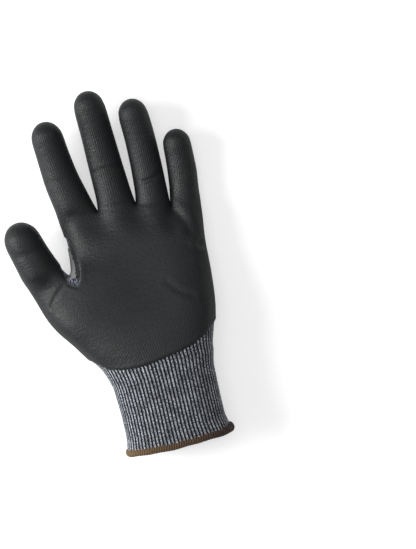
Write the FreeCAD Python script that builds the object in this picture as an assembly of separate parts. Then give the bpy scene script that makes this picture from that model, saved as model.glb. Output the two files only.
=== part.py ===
"""Cut-resistant knitted work glove, left hand, lying on its back with the palm up.

+X runs across the hand towards the little finger, +Y runs from the cuff to the fingertips
and +Z is the way the palm faces.  The glove keeps the shape of the hand that fills it.
Its knitted liner is a row of tubes, in the order that a glove machine knits them: five
finger stalls, the upper palm, the lower palm with the thumb's root, and the ribbed cuff.
A foam coating lies over the palm side, a patch over the thumb crotch, and an overlocked
hem over the cuff's raw edge.  Each stall is parted at its knuckles, where a soft band of
coated knit folds as the finger bends.
All sizes are in millimetres; the drawing frame starts at the hem and is moved at the end.
"""
import FreeCAD, Part
import math
import os

from FreeCAD import Vector

# ---- fabric ----
KNIT = 1.2                # wall of the knitted liner
COAT = 0.7                # foam coating over the knit
PATCH = 0.8               # reinforcement over the thumb crotch
CUFF_WALL = 1.6           # ribbed cuff, thicker than the plain knit

# ---- fingers: places across and along the hand, and the radius over the knit ----
# "at" gives the root fold, the middle knuckle, the end knuckle and the tip.
FINGERS = {
    "index": {"at": [(-31.9, 176.5), (-35.2, 195.5), (-37.0, 215.5), (-38.4, 237.2)],
              "radius": [12.3, 11.7, 10.5]},
    "middle": {"at": [(-3.4, 176.5), (-4.0, 198.0), (-4.3, 223.0), (-5.0, 250.2)],
               "radius": [11.8, 11.3, 10.5]},
    "ring": {"at": [(22.0, 174.0), (22.9, 192.0), (23.4, 213.0), (22.6, 238.2)],
             "radius": [10.3, 10.0, 9.9]},
    "little": {"at": [(44.4, 169.0), (46.3, 182.5), (47.0, 194.5), (47.6, 211.4)],
               "radius": [9.2, 9.3, 9.2]},
}
BACK_HEIGHT = 1.5         # gap under a knuckle when the glove lies on its back
CURL = [3.0, 9.0, 14.0]   # how far each length of a finger lifts off the floor, degrees
STUB = 30.0               # how far a finger's root runs down inside the palm
STUB_LEAN = 0.12          # its drift towards the middle of the hand over that length
PALM_MIDDLE_X = 4.0       # line that the roots lean towards

THUMB_AT = [(-63.2, 136.0), (-68.2, 153.5), (-74.0, 174.4)]
THUMB_RADIUS = [13.2, 12.0]
THUMB_HEIGHT = [20.0, 22.5, 25.5]
THUMB_ROOT = (-45.0, 100.0, 19.5)
THUMB_ROOT_RADIUS = 17.0
THUMB_FACE = 5.0          # the thumb's pad turns this far towards the fingers, degrees

DOME = 1.15               # a fingertip is this much longer than round
TIP_TAPER = 0.98          # and this much slimmer at its shoulder than at the last fold

# ---- knuckle folds: bending towards the palm and backwards, degrees ----
ROOT_BEND, ROOT_BACK = 70.0, 15.0
MIDDLE_BEND, END_BEND = 85.0, 50.0
THUMB_BEND, THUMB_BACK = 40.0, 15.0
THUMB_TIP_BEND = 65.0
FOLD_SPARE = 2.0          # extra half angle, so that the lengths never touch
FOLD_WAIST = 0.6          # half the fold's width at its hinge line
HINGE_RISE = 0.35          # hinge line above the finger's middle, as a share of its radius
FOLD_REACH = 1.6          # how far the fold's cutting planes reach, in finger radii
FOLD_SIDE = 1.0           # and how far past the finger's sides

# ---- palm: (y, left, right, back, front) of the sections of its two tubes ----
LOWER_PALM = [
    (60.0, -37.6, 38.0, 1.9, 44.0),
    (75.0, -48.0, 42.3, 1.7, 42.5),
    (90.0, -58.0, 46.4, 1.4, 40.0),
    (105.0, -67.0, 48.4, 1.0, 38.0),
    (118.0, -71.2, 49.2, 1.2, 36.0),
    (128.0, -74.0, 49.4, 2.5, 34.0),
]
UPPER_PALM = [
    (95.0, -44.0, 47.5, 3.0, 32.0),
    (128.0, -43.6, 49.4, 1.5, 31.5),
    (145.0, -42.4, 51.6, 1.5, 29.5),
    (158.0, -42.6, 52.6, 2.5, 26.0),
    (172.0, -42.0, 53.4, 6.5, 18.5),
]
PALM_SQUARE = 2.5         # superellipse power of the palm's sections; 2 is an ellipse
THUMB_CROTCH = 128.0      # where the thumb parts from the palm, along Y
WEBS = [(-60.0, 170.5), (-17.0, 168.3), (9.8, 166.6), (33.2, 161.0), (62.0, 158.0)]

# ---- coating ----
DIP_SIDE = 0.3            # it reaches this share of a radius past the finger's middle
DIP_HEIGHT = 10.0         # its side edge on the palm at the finger roots, above the floor
DIP_RISE = 0.055          # and how that edge climbs towards the wrist, per millimetre
DIP_CURVE = [(-66.0, 92.0), (-47.0, 72.0), (-27.0, 61.2), (0.0, 61.6), (24.0, 66.0), (38.0, 72.5),
             (56.0, 86.0)]  # its edge across the heel of the palm
THIMBLE = 0.55            # share of the end length that it covers all round

# ---- thumb crotch patch ----
PATCH_AT = (-43.0, 137.0)
PATCH_RADIUS = 21.0
PATCH_GAP = 0.5           # bare knit between it and the coating's edge

# ---- cuff: (y, half width, back, front) ----
CUFF = [
    (3.4, 34.4, 2.2, 44.8),
    (14.0, 33.4, 2.7, 44.2),
    (32.0, 33.4, 2.8, 43.6),
    (48.0, 34.2, 2.6, 43.4),
    (60.0, 37.6, 1.9, 44.0),
]
RIBS = 76                 # knitted ribs round the cuff
RIB_HIGH = 0.7            # how far a rib stands above the furrow beside it
HEM = 2.1                 # radius of the overlocked roll over the cuff's raw edge
HEM_LIP = 80              # degrees the roll turns through on each side before its flat lip
HEM_SLACK = 0.35          # between the roll's inner lip and the cuff's inner face
SLACK = 0.05              # between the cuff's knit and what is sewn round it or laid inside it
ELASTIC = 0.5             # thickness of an elastic yarn laid inside the cuff
ELASTICS = 7              # how many of its courses are drawn

SECTION_POINTS = 20       # points round a palm or cuff section
FAR = 400.0               # larger than the glove
BLOCK = 80.0              # larger than a finger's length
OVERRUN = 1.2             # forms run this far past their neighbours before they are trimmed
LENGTH_NAMES = {3: ("root", "middle", "tip"), 2: ("root", "tip")}


# ---------------------------------------------------------------- helpers
def superellipse(y, left, right, back, front, power, grow=0.0):
    """A closed smooth wire in the plane y, as wide and deep as given, grown outwards."""
    cx, cz = (left + right) / 2, (back + front) / 2
    a, b = (right - left) / 2 + grow, (front - back) / 2 + grow
    points = []
    for i in range(SECTION_POINTS):
        t = 2 * math.pi * i / SECTION_POINTS
        c, s = math.cos(t), math.sin(t)
        x = a * math.copysign(abs(c) ** (2 / power), c)
        z = b * math.copysign(abs(s) ** (2 / power), s)
        points.append(Vector(cx + x, y, cz + z))
    curve = Part.BSplineCurve()
    curve.interpolate(Points=points, PeriodicFlag=True)
    return Part.Wire([curve.toShape()])


def loft(wires):
    return Part.makeLoft(wires, True, False)


def prism(points, along):
    """A straight prism on a closed polygon."""
    face = Part.Face(Part.makePolygon(points + [points[0]]))
    return face.extrude(along)


def unit(v):
    return Vector(v) * (1.0 / v.Length)


def turned_to(shape, origin, forward, up):
    """The shape, drawn along +X with its palm side at +Z, set at origin along forward."""
    x, side = unit(forward), unit(up.cross(forward))
    z = x.cross(side)
    m = FreeCAD.Matrix(x.x, side.x, z.x, origin.x,
                       x.y, side.y, z.y, origin.y,
                       x.z, side.z, z.z, origin.z,
                       0, 0, 0, 1)
    out = shape.copy()
    out.Placement = FreeCAD.Placement(m)
    return out


def turned_profile(points):
    """A solid turned about +X from a half profile of (along, radius)."""
    wire = Part.makePolygon([Vector(x, 0, r) for x, r in points] + [Vector(points[0][0], 0, points[0][1])])
    return Part.Face(wire).revolve(Vector(0, 0, 0), Vector(1, 0, 0), 360)


def stall_end(start, end, r0, r1):
    """The closed end of a finger: a cone that runs into an elliptical dome."""
    reach = r1 * DOME
    shoulder = end - reach
    side = Part.LineSegment(Vector(start, 0, r0), Vector(shoulder, 0, r1))
    arc = Part.Ellipse(Vector(shoulder, 0, 0), reach, r1)
    # the ellipse's frame lies in XY, so it is turned into XZ before it is used
    edge = Part.Arc(arc, 0, math.pi / 2).toShape()
    edge.rotate(Vector(0, 0, 0), Vector(1, 0, 0), 90)
    base = Part.LineSegment(Vector(end, 0, 0), Vector(start, 0, 0))
    foot = Part.LineSegment(Vector(start, 0, 0), Vector(start, 0, r0))
    wire = Part.Wire([side.toShape(), edge, base.toShape(), foot.toShape()])
    return Part.Face(wire).revolve(Vector(0, 0, 0), Vector(1, 0, 0), 360)


def cone(start, end, r0, r1):
    return turned_profile([(start, 0), (start, r0), (end, r1), (end, 0)])


# ---------------------------------------------------------------- finger frames
class Finger:
    """Where a finger's folds are, which way each length points and how far each fold bends."""

    def __init__(self, name, points, radii, bends, up, root, root_radius, axis):
        self.name = name
        self.points = points          # the folds' centres on the middle line, then the tip
        self.radii = radii            # at each fold, over the knit
        self.bends = bends            # (towards the palm, backwards) at each fold
        self.up = up                  # the way its pad faces
        self.root = root              # where its root starts inside the palm
        self.root_radius = root_radius
        self.axis = axis              # a positive turn about it bends the finger to the palm
        self.lengths = len(radii)

    def run(self, i):
        return (self.points[i + 1] - self.points[i]).Length

    def direction(self, i):
        """The way length i points; length -1 is the root inside the palm."""
        if i < 0:
            return unit(self.points[0] - self.root)
        return unit(self.points[i + 1] - self.points[i])

    def fold_frame(self, i):
        """(hinge point, along the finger, towards its pad) of fold i, all square to its axis."""
        halfway = self.direction(i - 1) + self.direction(i)
        along = unit(halfway - self.axis * halfway.dot(self.axis))
        up = self.axis.cross(along)
        return self.points[i] + up * (HINGE_RISE * self.radii[i]), along, up


def lifted(points, first_radius):
    """A finger's middle line in space, from its plan view and its curl."""
    z = BACK_HEIGHT + first_radius
    out = [Vector(*points[0], z)]
    for (x0, y0), (x1, y1), rise in zip(points, points[1:], CURL):
        z += math.hypot(x1 - x0, y1 - y0) * math.tan(math.radians(rise))
        out.append(Vector(x1, y1, z))
    return out


def make_finger(name, at, radius):
    points = lifted(at, radius[0])
    aside = (PALM_MIDDLE_X - points[0].x) * STUB_LEAN
    root = points[0] + Vector(aside, -STUB, 0)
    bends = [(ROOT_BEND, ROOT_BACK), (MIDDLE_BEND, 0.0), (END_BEND, 0.0)]
    return Finger(name, points, radius, bends, Vector(0, 0, 1), root, radius[0], Vector(1, 0, 0))


def make_thumb():
    points = [Vector(x, y, z) for (x, y), z in zip(THUMB_AT, THUMB_HEIGHT)]
    way = unit(Vector(points[-1].x - points[0].x, points[-1].y - points[0].y, 0))
    across = way.cross(Vector(0, 0, 1))
    face = math.radians(THUMB_FACE)
    up = Vector(0, 0, 1) * math.cos(face) + across * math.sin(face)
    bends = [(THUMB_BEND, THUMB_BACK), (THUMB_TIP_BEND, 0.0)]
    return Finger("thumb", points, THUMB_RADIUS, bends, up, Vector(*THUMB_ROOT),
                  THUMB_ROOT_RADIUS, unit(way.cross(up)))


def hand():
    return [make_finger(name, f["at"], f["radius"]) for name, f in FINGERS.items()] + [make_thumb()]


def beyond_fold(f, i):
    """A block over everything past the middle of fold i."""
    _, along, up = f.fold_frame(i)
    block = Part.makeBox(BLOCK, 2 * BLOCK, 2 * BLOCK, Vector(0, -BLOCK, -BLOCK))
    return turned_to(block, f.points[i], along, up)


def fold_wedge(f, i):
    """The prism that fold i fills: it opens towards the pad, and a little towards the back."""
    hinge, along, up = f.fold_frame(i)
    bend, back = f.bends[i]
    curl = math.degrees(f.direction(i - 1).getAngle(f.direction(i)))
    front = math.radians(bend / 2 + FOLD_SPARE)
    rear = math.radians((back + curl) / 2 + FOLD_SPARE)
    reach = FOLD_REACH * (f.radii[i] + COAT)
    corners = []
    for angle, side in ((front, 1), (rear, -1)):
        out = FOLD_WAIST + reach * math.sin(angle)
        corners.append((side, out, side * reach * math.cos(angle)))
    (_, front_out, front_up), (_, rear_out, rear_up) = corners
    outline = [(FOLD_WAIST, 0), (front_out, front_up), (-front_out, front_up),
               (-FOLD_WAIST, 0), (-rear_out, rear_up), (rear_out, rear_up)]
    half = f.radii[i] + COAT + FOLD_SIDE
    points = [hinge + along * a + up * b - f.axis * half for a, b in outline]
    return prism(points, f.axis * (2 * half))


# ---------------------------------------------------------------- knit and coating of a finger
def length_form(f, i, grow):
    """Length i of a finger as a full solid, its radius grown, and a little too long."""
    r0, run = f.radii[i] + grow, f.run(i)
    if i == f.lengths - 1:
        body = stall_end(-OVERRUN, run + grow, r0, f.radii[i] * TIP_TAPER + grow)
    else:
        body = cone(-OVERRUN, run + OVERRUN, r0, f.radii[i + 1] + grow)
    return turned_to(body, f.points[i], f.direction(i), f.up)


def root_form(f, grow):
    """The finger's root, which runs up out of the palm."""
    run = (f.points[0] - f.root).Length
    body = cone(0, run + OVERRUN, f.root_radius + grow, f.radii[0] + grow)
    return turned_to(body, f.root, f.direction(-1), f.up)


def coated_side(f, i):
    """A block over the pad side of length i, down to the coating's side edge."""
    run = f.run(i)
    low = -DIP_SIDE * f.radii[i]
    block = Part.makeBox(run + BLOCK, BLOCK, BLOCK, Vector(-BLOCK / 4, -BLOCK / 2, low))
    if i == f.lengths - 1:
        tip = Part.makeBox(BLOCK, BLOCK, BLOCK, Vector(run * THIMBLE, -BLOCK / 2, -BLOCK / 2))
        block = block.fuse(tip)
    return turned_to(block, f.points[i], f.direction(i), f.up)


def between_folds(f, i, solid):
    """Length i without its two folds."""
    for fold in range(i, min(i + 2, f.lengths)):
        solid = solid.cut(fold_wedge(f, fold))
    solid = solid.common(beyond_fold(f, i))
    return solid.cut(beyond_fold(f, i + 1)) if i + 1 < f.lengths else solid


def length_knit(f, i):
    return between_folds(f, i, length_form(f, i, 0).cut(length_form(f, i, -KNIT)))


def length_coating(f, i):
    skin = length_form(f, i, COAT).cut(length_form(f, i, 0)).common(coated_side(f, i))
    return between_folds(f, i, skin)


def fold_form(f, i, grow):
    """A short straight piece of finger across fold i, as a full solid."""
    before = (f.points[i] - (f.root if i == 0 else f.points[i - 1])).Length
    slope_before = (f.radii[i] - (f.root_radius if i == 0 else f.radii[i - 1])) / before
    slope_after = (f.radii[i + 1] - f.radii[i]) / f.run(i) if i + 1 < f.lengths else 0.0
    slope = (slope_before + slope_after) / 2
    reach = FOLD_REACH * f.radii[i]
    radius = f.radii[i] + grow
    _, along, up = f.fold_frame(i)
    return turned_to(cone(-reach, reach, radius - slope * reach, radius + slope * reach),
                     f.points[i], along, up)


def fold_band(f, i):
    """The coated knit across fold i, one solid for both layers, cut to the fold's wedge."""
    _, along, up = f.fold_frame(i)
    low = -DIP_SIDE * f.radii[i]
    if i == 0:
        low = (dip_line(f.points[0].y) - f.points[0].z) * f.up.z
    pad_side = Part.makeBox(2 * BLOCK, BLOCK, BLOCK, Vector(-BLOCK, -BLOCK / 2, low))
    pad_side = turned_to(pad_side, f.points[i], along, up)
    band = fold_form(f, i, 0).fuse(fold_form(f, i, COAT).common(pad_side))
    return band.cut(fold_form(f, i, -KNIT)).common(fold_wedge(f, i))


def finger_nodes(f):
    """Knit, coating and fold of every length of a finger."""
    nodes = {}
    for i, place in enumerate(LENGTH_NAMES[f.lengths]):
        nodes[f"{f.name}_{place}_knit"] = length_knit(f, i)
        nodes[f"{f.name}_{place}_coating"] = length_coating(f, i)
        nodes[f"{f.name}_{place}_fold"] = fold_band(f, i)
    return nodes


# ---------------------------------------------------------------- palm
def web_cut(grow):
    """Everything past the line of the webs, which the palm's own tube stays below."""
    line = [Vector(x, y + grow, -FAR) for x, y in WEBS]
    far = [Vector(WEBS[-1][0], FAR, -FAR), Vector(WEBS[0][0], FAR, -FAR)]
    return prism(line + far, Vector(0, 0, 2 * FAR))


def palm_form(grow, trimmed=True):
    """The palm and the roots of all five fingers up to their folds, as one full solid."""
    lower = [superellipse(*row, PALM_SQUARE, grow) for row in LOWER_PALM]
    if grow:
        y, *rest = LOWER_PALM[-1]
        lower[-1] = superellipse(y + grow, *rest, PALM_SQUARE, grow)
    if grow < 0:
        y, *rest = LOWER_PALM[0]
        lower.insert(0, superellipse(y + grow, *rest, PALM_SQUARE, grow))
    upper = [superellipse(*row, PALM_SQUARE, grow) for row in UPPER_PALM]
    solid = loft(upper).cut(web_cut(grow)).fuse(loft(lower))
    for f in hand():
        root = root_form(f, grow)
        solid = solid.fuse(root.cut(beyond_fold(f, 0)) if trimmed else root)
    return solid


def dip_line(y):
    """Height of the coating's side line on the palm."""
    return DIP_HEIGHT + (FINGERS["middle"]["at"][0][1] - y) * DIP_RISE


def without_root_folds(solid):
    for f in hand():
        solid = solid.cut(fold_wedge(f, 0))
    return solid


def dip_space():
    """The space that the coating fills: above its side line and past its line on the heel."""
    ends = [(y, dip_line(y)) for y in (-FAR, FAR)]
    side = prism([Vector(-FAR, *ends[0]), Vector(-FAR, *ends[1]), Vector(-FAR, FAR, FAR),
                  Vector(-FAR, -FAR, FAR)], Vector(2 * FAR, 0, 0))
    heel = Part.BSplineCurve()
    heel.interpolate([Vector(x, y, -FAR) for x, y in DIP_CURVE])
    (x0, y0), (x1, y1) = DIP_CURVE[0], DIP_CURVE[-1]
    rest = [(x1, y1), (FAR, y1), (FAR, FAR), (-FAR, FAR), (-FAR, y0), (x0, y0)]
    wire = Part.Wire([heel.toShape()] + Part.makePolygon([Vector(x, y, -FAR) for x, y in rest]).Edges)
    return side.common(Part.Face(wire).extrude(Vector(0, 0, 2 * FAR)))


def crotch_patch(outer, dip):
    """A patch on the back of the thumb crotch, a little clear of the coating's edge."""
    disc = Part.makeCylinder(PATCH_RADIUS, FAR, Vector(*PATCH_AT, -FAR / 2))
    clear = dip.copy()
    clear.translate(Vector(0, 0, -PATCH_GAP))
    skin = palm_form(PATCH).common(disc.cut(clear))
    return without_root_folds(skin.cut(outer))


# ---------------------------------------------------------------- cuff
def cuff_section(row, grow):
    y, half, back, front = row
    return superellipse(y, -half, half, back, front, PALM_SQUARE, grow)


def ribbed_section(row):
    """The cuff's outline at one height, with a ridge and a furrow for each rib."""
    smooth = cuff_section(row, 0).Edges[0]
    length = smooth.Length
    points = []
    for n in range(2 * RIBS):
        at = smooth.getParameterByLength(length * n / (2 * RIBS))
        p, along = smooth.valueAt(at), smooth.tangentAt(at)
        middle = Vector(0, p.y, (row[2] + row[3]) / 2)
        out = Vector(-along.z, 0, along.x)
        out = out if out.dot(p - middle) > 0 else out * -1
        points.append(p + out * (RIB_HIGH * (n % 2) - RIB_HIGH / 2))
    return Part.makePolygon(points + [points[0]])


def cuff_space(grow):
    """The smooth tube that follows the cuff, which runs past both its ends."""
    first = (CUFF[0][0] - 2 * HEM, *CUFF[0][1:])
    last = (CUFF[-1][0] + OVERRUN, *CUFF[-1][1:])
    return loft([cuff_section(row, grow) for row in [first] + CUFF + [last]])


def ribbed_cuff():
    outer = Part.makeLoft([ribbed_section(row) for row in CUFF], True, True)
    return outer.cut(cuff_space(-CUFF_WALL))


def roll_side(side):
    """One side of the hem's roll, outer (1) or inner (-1), as a full solid."""
    y, *rest = CUFF[0]
    rows = []
    for angle in range(-HEM_LIP, HEM_LIP + 1, HEM_LIP // 4):
        turn = math.radians(angle)
        grow = side * HEM * math.cos(turn) - CUFF_WALL / 2
        rows.append(cuff_section((y + HEM * math.sin(turn), *rest), grow))
    return loft(rows)


def cuff_hem():
    """The overlocked roll, which wraps the cuff's raw edge."""
    edge = CUFF[0][0]
    rows = [(y, *CUFF[0][1:]) for y in (edge, edge + 3 * HEM)]
    around = loft([cuff_section(row, RIB_HIGH / 2 + SLACK) for row in rows])
    inside = loft([cuff_section(row, -CUFF_WALL - HEM_SLACK) for row in rows])
    return roll_side(1).cut(roll_side(-1)).cut(around.cut(inside))


def cuff_elastic():
    """Courses of elastic yarn, which lie inside the cuff and draw it in."""
    layer = cuff_space(-CUFF_WALL - SLACK).cut(cuff_space(-CUFF_WALL - ELASTIC))
    low, high = CUFF[0][0] + 3 * HEM, CUFF[-1][0] - HEM
    rings = []
    for n in range(ELASTICS):
        y = low + (high - low) * n / (ELASTICS - 1)
        rings.append(layer.common(Part.makeBox(2 * FAR, ELASTIC, 2 * FAR, Vector(-FAR, y, -FAR))))
    return Part.makeCompound(rings)


# ---------------------------------------------------------------- the glove
def glove():
    """Every node of the glove by name, in the drawing frame."""
    dip, outer = dip_space(), palm_form(0)
    nodes = {}
    knit = without_root_folds(outer.cut(palm_form(-KNIT, trimmed=False)))
    thumb_side = Part.makeBox(2 * FAR, FAR, 2 * FAR, Vector(-FAR, THUMB_CROTCH, -FAR))
    nodes["upper_palm_knit"] = knit.common(thumb_side)
    nodes["lower_palm_knit"] = knit.cut(thumb_side)
    nodes["palm_coating"] = without_root_folds(palm_form(COAT).common(dip).cut(outer))
    nodes["thumb_crotch_patch"] = crotch_patch(outer, dip)
    for f in hand():
        nodes.update(finger_nodes(f))
    nodes["ribbed_cuff"] = ribbed_cuff()
    nodes["cuff_elastic"] = cuff_elastic()
    nodes["cuff_hem"] = cuff_hem()
    return nodes


def main():
    os.makedirs("parts", exist_ok=True)
    nodes = glove()
    box = Part.makeCompound(list(nodes.values())).optimalBoundingBox(False)
    shift = Vector(-(box.XMin + box.XMax) / 2, -(box.YMin + box.YMax) / 2, -box.ZMin)
    for name, shape in sorted(nodes.items()):
        shape.translate(shift)
        solids = shape.Solids
        print(f"{name:24s} solids {len(solids)}  faces {len(shape.Faces):4d}  volume {shape.Volume:9.1f}")
        Part.makeCompound(solids).exportStep(f"parts/{name}.step")
    print("shift", tuple(round(v, 4) for v in shift))
    for f in hand():
        for i in range(f.lengths):
            hinge, _, _ = f.fold_frame(i)
            print("hinge", f.name, i, tuple(round(v, 4) for v in hinge + shift), tuple(round(v, 6) for v in f.axis))


if __name__ == "__main__":
    main()
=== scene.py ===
import math
import bmesh
import bpy
import numpy as np
from mathutils import Matrix, Vector


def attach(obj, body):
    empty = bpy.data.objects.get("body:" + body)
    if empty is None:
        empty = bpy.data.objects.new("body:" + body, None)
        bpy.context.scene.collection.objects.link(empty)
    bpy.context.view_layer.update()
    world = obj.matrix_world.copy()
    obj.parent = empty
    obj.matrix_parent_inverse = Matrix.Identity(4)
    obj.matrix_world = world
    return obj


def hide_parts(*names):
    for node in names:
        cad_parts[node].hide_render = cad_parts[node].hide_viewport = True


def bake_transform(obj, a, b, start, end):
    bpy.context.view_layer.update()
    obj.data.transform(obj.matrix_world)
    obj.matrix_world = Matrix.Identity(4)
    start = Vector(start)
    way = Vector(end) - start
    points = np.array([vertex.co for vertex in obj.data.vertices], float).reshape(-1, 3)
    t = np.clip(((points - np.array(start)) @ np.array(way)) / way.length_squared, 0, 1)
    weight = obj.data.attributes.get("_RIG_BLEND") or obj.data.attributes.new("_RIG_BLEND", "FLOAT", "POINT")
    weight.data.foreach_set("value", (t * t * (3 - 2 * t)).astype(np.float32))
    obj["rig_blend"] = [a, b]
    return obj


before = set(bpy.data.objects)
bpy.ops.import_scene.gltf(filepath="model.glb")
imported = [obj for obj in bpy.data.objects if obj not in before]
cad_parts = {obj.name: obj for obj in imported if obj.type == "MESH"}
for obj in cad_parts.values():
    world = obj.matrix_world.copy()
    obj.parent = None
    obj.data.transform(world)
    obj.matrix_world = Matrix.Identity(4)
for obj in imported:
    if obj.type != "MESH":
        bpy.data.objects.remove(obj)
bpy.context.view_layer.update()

print("frame loaded")

# Lengths in the tables are millimetres in the pattern's own frame: y 0 at the hem, x 0 at the wrist's
# middle. Lengths in the materials and the studio are metres.
pattern = {"shift": (13.0164, -126.2494, -0.7), "mm": 0.001}


def place(x, y, z):
    dx, dy, dz = pattern["shift"]
    return Vector((x + dx, y + dy, z + dz)) * pattern["mm"]


def smooth(value, low, high):
    t = np.clip((value - low) / (high - low), 0.0, 1.0)
    return t * t * (3 - 2 * t)


# the hand's sections
hand = {
    "outline": [     # y, left edge, thumb's inner side, right edge, back, front
        (0, -36.0, -26.0, 37.0, 1.6, 45.0),
        (5, -36.0, -26.0, 37.0, 1.6, 45.0),
        (15, -34.2, -25.0, 34.6, 2.2, 44.4),
        (30, -34.0, -25.0, 34.8, 2.4, 43.8),
        (50, -34.8, -26.0, 35.5, 2.2, 43.8),
        (60, -37.8, -27.5, 38.0, 1.9, 44.0),
        (66, -41.0, -29.5, 39.2, 1.8, 43.6),
        (75, -48.0, -33.0, 42.4, 1.7, 42.6),
        (85, -53.0, -37.0, 45.2, 1.5, 41.2),
        (95, -61.4, -40.0, 46.9, 1.3, 39.6),
        (105, -67.3, -42.5, 47.9, 1.0, 38.0),
        (116, -70.2, -44.0, 48.8, 1.2, 36.2),
        (128, -74.4, -44.6, 49.2, 1.5, 33.8),
        (138, -79.0, -42.8, 50.0, 1.5, 31.4),
        (148, -79.0, -42.0, 51.8, 1.6, 29.4),
        (158, -79.0, -42.2, 52.7, 1.6, 27.4),
        (170, -79.0, -44.2, 54.4, 1.6, 25.4),
    ],
    "rows": [60, 67, 76, 86, 96, 107, 118, 128],       # stations below the thumb's crotch
    "upperRows": [0.27, 0.54, 0.79, 1.0],              # share of the way from there to the webs
    "fractions": [0, 0.134, 0.28, 0.411, 0.546, 0.668, 0.781, 0.893, 1.0],
    "webs": [166, 168, 164.4, 168, 163.2, 165.5, 155.2, 160, 158],
    "square": 2.4,
    "sideInset": 0.05,
    "skin": 0.6,                                       # left for the foam on each side
    "webTop": 18.5,
    "webBack": 6.0,
}
table = np.array(hand["outline"], float)


def section(y):
    return [np.interp(y, table[:, 0], table[:, k]) for k in range(1, 6)]


def sectionHeight(x, left, right, back, front):
    across = abs(2 * (x - left) / (right - left) - 1)
    share = max(0.0, 1 - min(across, 1.0) ** hand["square"]) ** (1 / hand["square"])
    return (front + back) / 2, share * (front - back) / 2


def handPoint(i, j, row):
    crotchRow = hand["rows"][-1]
    if row <= crotchRow:
        y = row
        left, inner, right, back, front = section(y)
    else:
        y = crotchRow + (row - crotchRow) * (hand["webs"][i - 2] - crotchRow)
        _, left, right, back, front = section(y)
        inner = left
    if i < 2:
        x = left + (inner - left) * i / 2
    else:
        x = inner + (right - inner) * hand["fractions"][i - 2]
    left, right = left + hand["skin"], right - hand["skin"]
    inset = hand["sideInset"] * (right - left)
    first = 0 if row <= crotchRow else 2
    if i in (first, cageGrid["columns"]):
        side = 1 if i == first else -1
        x += side * (inset if j != 1 else -inset / 2)
    middle, half = sectionHeight(x, left, right, back, front)
    z = middle + (j - 1) * half
    if row > crotchRow and i in (4, 6, 8) and j != 1:  # the surface dips between the fingers
        sink = smooth(row - crotchRow, 0.5, 1.0)
        z = z + (hand["webTop" if j == 2 else "webBack"] - z) * sink
    return place(x, y, z)


# the fingers
fingers = {
    "thumb": {"column": 0, "folds": [(-63.6, 136), (-68.6, 153.5), (-73.6, 174.2)],
              "radius": (13.2, 11.9), "heights": (20.5, 22.5, 25.5), "face": 25.0},
    "index": {"column": 2, "folds": [(-31.9, 176.5), (-35.7, 195.5), (-37.3, 215.5), (-38.2, 236.8)],
              "radius": (12.2, 11.3, 10.2)},
    "middle": {"column": 4, "folds": [(-3.4, 176.5), (-4.0, 198), (-4.3, 223), (-5.0, 250.0)],
               "radius": (11.5, 10.8, 10.0)},
    "ring": {"column": 6, "folds": [(22.2, 174), (23.2, 192), (23.7, 213), (22.6, 238.0)],
             "radius": (10.2, 9.8, 9.5)},
    "little": {"column": 8, "folds": [(44.4, 169), (46.3, 182.5), (47.0, 194.5), (47.6, 211.2)],
               "radius": (9.1, 9.2, 8.8)},
}
stall = {
    "back": 1.5,                 # height of a finger's back over the ground at its root
    "curl": (3, 9, 14),          # degrees that each length rises
    "shrink": 0.902,             # what subdivision leaves of a ring's radius
    "diagonal": 0.7071,          # puts a ring's corners on its circle
    "dome": [(0.0, 1.0), (0.55, 0.88), (0.98, 0.46)],
    "domeTip": 1.14,
    "domeStart": 1.1,
    "rootBlend": 8.2,            # how far before the root fold the bend begins
    "rootStep": 8,               # how far the first ring counts as lying past the palm's last row
    "partNames": {2: ("root", "tip"), 3: ("root", "middle", "tip")},
}


def fingerPoints(finger):
    folds = finger["folds"]
    if "heights" in finger:
        return [Vector((x, y, z)) for (x, y), z in zip(folds, finger["heights"])]
    z = stall["back"] + finger["radius"][0]
    points = [Vector((*folds[0], z))]
    for (x0, y0), (x1, y1), rise in zip(folds, folds[1:], stall["curl"]):
        z += math.hypot(x1 - x0, y1 - y0) * math.tan(math.radians(rise))
        points.append(Vector((x1, y1, z)))
    return points


def fingerUp(finger, points):
    if "face" not in finger:
        return Vector((0, 0, 1))
    way = points[-1] - points[0]
    across = Vector((way.x, way.y, 0)).normalized().cross(Vector((0, 0, 1)))
    turn = math.radians(finger["face"])
    return Vector((0, 0, 1)) * math.cos(turn) + across * math.sin(turn)


def fingerStations(finger):
    points, radius = fingerPoints(finger), finger["radius"]
    up = fingerUp(finger, points)
    ways = [(b - a).normalized() for a, b in zip(points, points[1:])]
    stations = []
    for n, r in enumerate(radius):
        before = ways[n - 1] if n else Vector((0, 1, 0)) if len(radius) == 3 else ways[0]
        stations.append((points[n], (before + ways[n]).normalized(), up, r, n))
        if n + 1 < len(radius):
            middle = (points[n] + points[n + 1]) / 2
            stations.append((middle, ways[n], up, (r + radius[n + 1]) / 2, n))
    r, way = radius[-1], ways[-1]
    start = points[-1] - way * (r * stall["domeStart"])
    for out, share in stall["dome"]:
        stations.append((start + way * (r * out), way, up, r * share, len(radius) - 1))
    return stations, start + way * (r * stall["domeTip"])


def ringPoint(station, a, b):
    centre, way, up, radius, _ = station
    across = way.cross(up).normalized()
    lift = across.cross(way).normalized()
    corner = stall["diagonal"] if a != 1 and b != 1 else 1.0
    reach = corner * radius / stall["shrink"]
    return place(*(centre + across * ((a - 1) * reach) + lift * ((b - 1) * reach)))


# the cage, extruded station by station
parts = ["palm"] + [f"{name}_{length}" for name, finger in fingers.items()
                    for length in stall["partNames"][len(finger["radius"])]]
knit = {"walesPerColumn": 6, "course": 1.3, "sameRow": 0.01}
cageGrid = {"columns": 10, "levels": 2, "size": 0.07, "at": (0, 60, 22), "webRow": 168, "subdivisions": 3}


def onlySelect(piece):
    bpy.ops.object.select_all(action="DESELECT")
    piece.select_set(True)
    bpy.context.view_layer.objects.active = piece


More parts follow.
